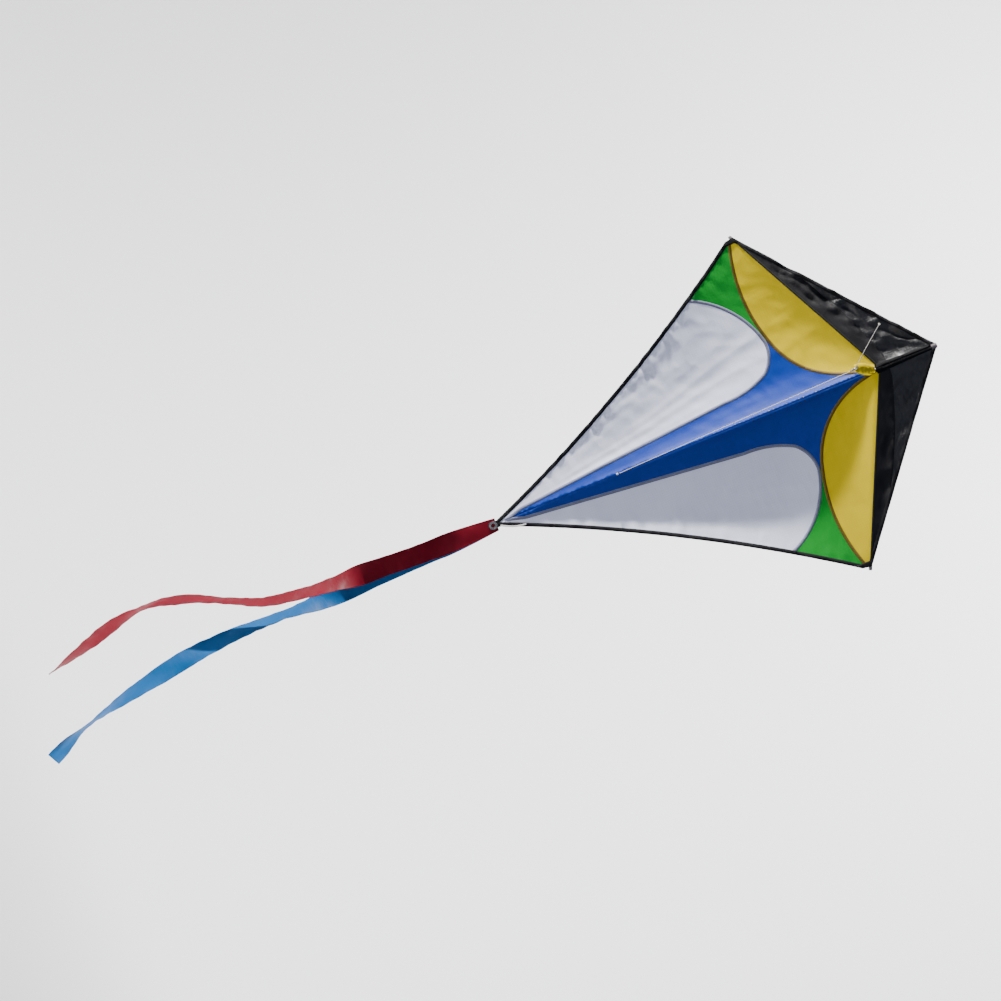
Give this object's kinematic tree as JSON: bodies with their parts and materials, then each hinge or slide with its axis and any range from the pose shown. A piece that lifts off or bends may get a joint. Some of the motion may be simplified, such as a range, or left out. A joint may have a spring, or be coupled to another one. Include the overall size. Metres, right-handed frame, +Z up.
{
  "type": "diamond kite",
  "caption": "Single-line diamond kite with folding sparred wings, a sewn panel sail, a bridle with a tow ring and ribbon tails.",
  "frame": {"origin": "centre of the tow ring, where the flying line holds the kite", "axes": "+Z up the spine towards the nose, the flier looks along +Y at the face, +X to the flier's right"},
  "size_m": [0.764, 0.4315, 2.0255],
  "materials": {
    "rod": "pultruded fibreglass, satin",
    "ferrule": "drawn tube, satin",
    "vinyl_cap": "grey vinyl, satin",
    "hub_plastic": "moulded, satin",
    "ripstop_black": "ripstop, slight sheen",
    "ripstop_blue": "ripstop, slight sheen",
    "ripstop_white": "ripstop, slight sheen",
    "ripstop_green": "ripstop, slight sheen",
    "ripstop_yellow": "ripstop, slight sheen",
    "binding_black": "folded woven tape",
    "webbing_black": "woven tape",
    "eyelet_nickel": "nickel plated",
    "elastic_white": "braided elastic cord",
    "line_white": "twisted line",
    "ring_steel": "split ring, polished",
    "ribbon_red": "light ribbon nylon",
    "ribbon_blue": "light ribbon nylon"
  },
  "bodies": {
    "root": {"spine_lower": "rod", "spine_upper": "rod", "spine_ferrule": "ferrule", "nose_cap": "vinyl_cap", "tail_cap": "vinyl_cap", "spine_sleeve_nose": "ripstop_black", "spine_sleeve_tail": "ripstop_black", "hub_cover": "ripstop_black", "hub_collar_upper": "hub_plastic", "hub_collar_lower": "hub_plastic", "tail_tab": "webbing_black", "tail_eyelet": "eyelet_nickel", "bridle_anchor_upper": "line_white", "bridle_anchor_lower": "line_white"},
    "wing_left": {"spar_socket_left": "hub_plastic", "spar_left": "rod", "spar_sleeve_left": "ripstop_black", "tip_cap_left": "vinyl_cap", "tip_patch_left": "webbing_black", "panel_blue_left": "ripstop_blue", "panel_white_left": "ripstop_white", "panel_green_left": "ripstop_green", "panel_yellow_left": "ripstop_yellow", "panel_nose_left": "ripstop_black", "binding_leading_left": "binding_black", "binding_trailing_left": "binding_black"},
    "wing_right": {"spar_socket_right": "hub_plastic", "spar_right": "rod", "spar_sleeve_right": "ripstop_black", "tip_cap_right": "vinyl_cap", "tip_patch_right": "webbing_black", "panel_blue_right": "ripstop_blue", "panel_white_right": "ripstop_white", "panel_green_right": "ripstop_green", "panel_yellow_right": "ripstop_yellow", "panel_nose_right": "ripstop_black", "binding_leading_right": "binding_black", "binding_trailing_right": "binding_black", "tail_elastic": "elastic_white"},
    "bridle": {"tow_strap": "ripstop_yellow", "bridle_lower_leg": "line_white", "tow_ring": "ring_steel", "leader_line": "line_white", "leader_knot": "line_white"},
    "tail_red": {"tail_red_tab": "ribbon_red", "tail_red": "ribbon_red"},
    "tail_blue": {"tail_blue_tab": "ribbon_blue", "tail_blue": "ribbon_blue"}
  },
  "joints": [
    {"name": "wing_left_fold", "type": "hinge", "parent": "root", "child": "wing_left", "pos_m": [0, 0.15, 0], "axis": [0, 0, -1], "range_deg": [0, 75]},
    {"name": "wing_right_fold", "type": "hinge", "parent": "root", "child": "wing_right", "pos_m": [0, 0.15, 0], "axis": [0, 0, 1], "range_deg": [0, 75]},
    {"name": "bridle_swing", "type": "hinge", "parent": "root", "child": "bridle", "pos_m": [0, 0.139, 0], "axis": [0, 0, 1], "range_deg": [-45, 45]},
    {"name": "tail_red_swing", "type": "hinge", "parent": "root", "child": "tail_red", "pos_m": [0, 0.15, -0.796], "axis": [0, 1, 0], "range_deg": [-45, 45]},
    {"name": "tail_blue_swing", "type": "hinge", "parent": "root", "child": "tail_blue", "pos_m": [0, 0.15, -0.796], "axis": [0, 1, 0], "range_deg": [-45, 45]}
  ]
}
